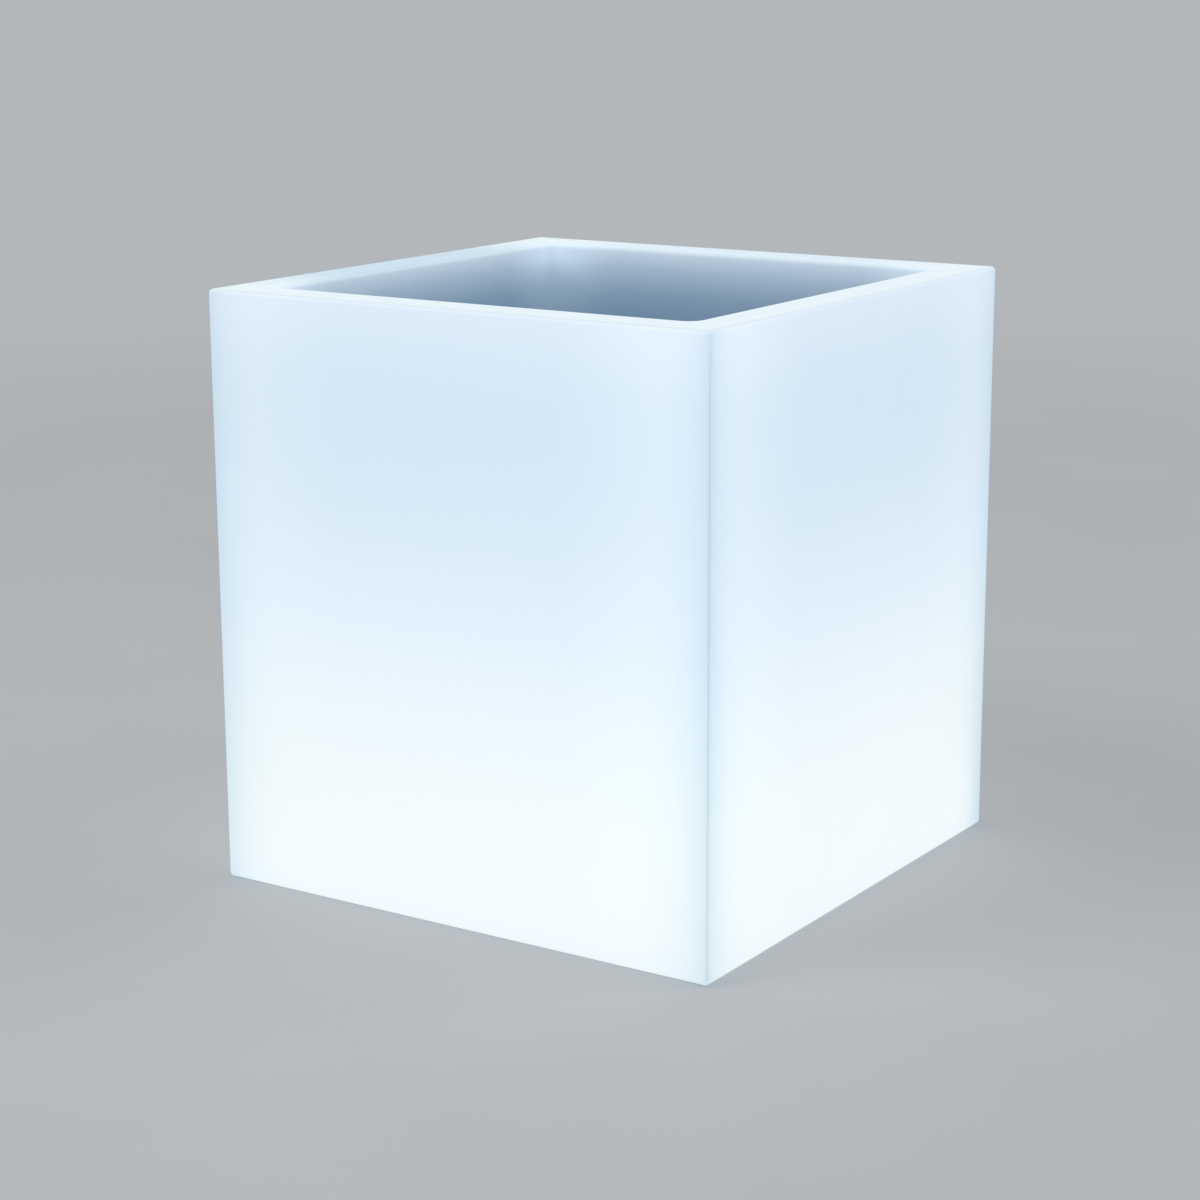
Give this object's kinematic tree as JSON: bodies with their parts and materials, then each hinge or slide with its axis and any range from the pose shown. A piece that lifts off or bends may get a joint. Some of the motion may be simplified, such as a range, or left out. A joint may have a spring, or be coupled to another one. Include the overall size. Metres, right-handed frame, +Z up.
{
  "type": "led cube planter",
  "caption": "Square double-walled planter in translucent white plastic, lit from inside by a light unit screwed into its underside, with a pot open at the top.",
  "frame": {"origin": "middle of the planter's plan, on the surface that its feet stand on", "axes": "+Z up out of the pot, +X and +Y square to the outer faces; the inlet and the switch are on the -Y side of the underside"},
  "size_m": [0.38, 0.38, 0.401],
  "materials": {
    "polyethylene": "translucent cold white, lit from inside",
    "foot_rubber": "matt",
    "bung_rubber": "matt pale grey",
    "seal_rubber": "matt",
    "flap_rubber": "matt",
    "brass": "knurled",
    "steel": "satin stainless",
    "nickel": "nickel plated",
    "housing_plastic": "fine moulded texture",
    "jack_plastic": "glossy black",
    "button_plastic": "satin grey",
    "clear_plastic": "clear acrylic",
    "dome_plastic": "frosted, lit",
    "led_board": "white solder mask on aluminium",
    "led_chips": "lit",
    "circuit_board": "green solder mask",
    "chip_plastic": "moulded epoxy",
    "cell_sleeve": "heat-shrunk sleeve",
    "lead_insulation": "insulated wire",
    "plug_plastic": "nylon"
  },
  "bodies": {
    "planter": {"planter_body": "polyethylene", "body_inserts": "brass", "rubber_feet": "foot_rubber", "foot_washers": "steel", "foot_screws": "steel", "unit_housing": "housing_plastic", "flange_gasket": "seal_rubber", "flange_washers": "steel", "flange_screws": "steel", "lens_cover": "dome_plastic", "lens_seal": "seal_rubber", "lens_screws": "steel", "led_board": "led_board", "led_chips": "led_chips", "board_screws": "steel", "control_board": "circuit_board", "control_chips": "chip_plastic", "control_screws": "steel", "battery_cells": "cell_sleeve", "battery_links": "nickel", "battery_clamp": "housing_plastic", "clamp_screws": "steel", "charge_jack": "jack_plastic", "jack_seal": "seal_rubber", "jack_nut": "nickel", "cap_anchor": "flap_rubber", "switch_body": "jack_plastic", "switch_seal": "seal_rubber", "switch_nut": "nickel", "button_spring": "steel", "status_window": "clear_plastic", "jack_leads": "lead_insulation", "switch_leads": "lead_insulation", "led_leads": "lead_insulation", "battery_leads": "lead_insulation", "lead_plugs": "plug_plastic"},
    "button": {"power_button": "button_plastic"},
    "flap": {"jack_cap": "flap_rubber"},
    "bung": {"drain_plug": "bung_rubber"}
  },
  "joints": [
    {"name": "button_press", "type": "slide", "parent": "planter", "child": "button", "axis": [0, 0, 1], "range_m": [0, 0.0015], "stiffness_N_per_m": 400, "springref_m": -0.002, "deforming": ["button_spring"]},
    {"name": "flap_swing", "type": "hinge", "parent": "planter", "child": "flap", "pos_m": [-0.013, -0.036, 0.0087], "axis": [0, -1, 0], "range_deg": [0, 110]},
    {"name": "bung_pull", "type": "slide", "parent": "planter", "child": "bung", "axis": [0, 0, 1], "range_m": [0, 0.06]}
  ]
}
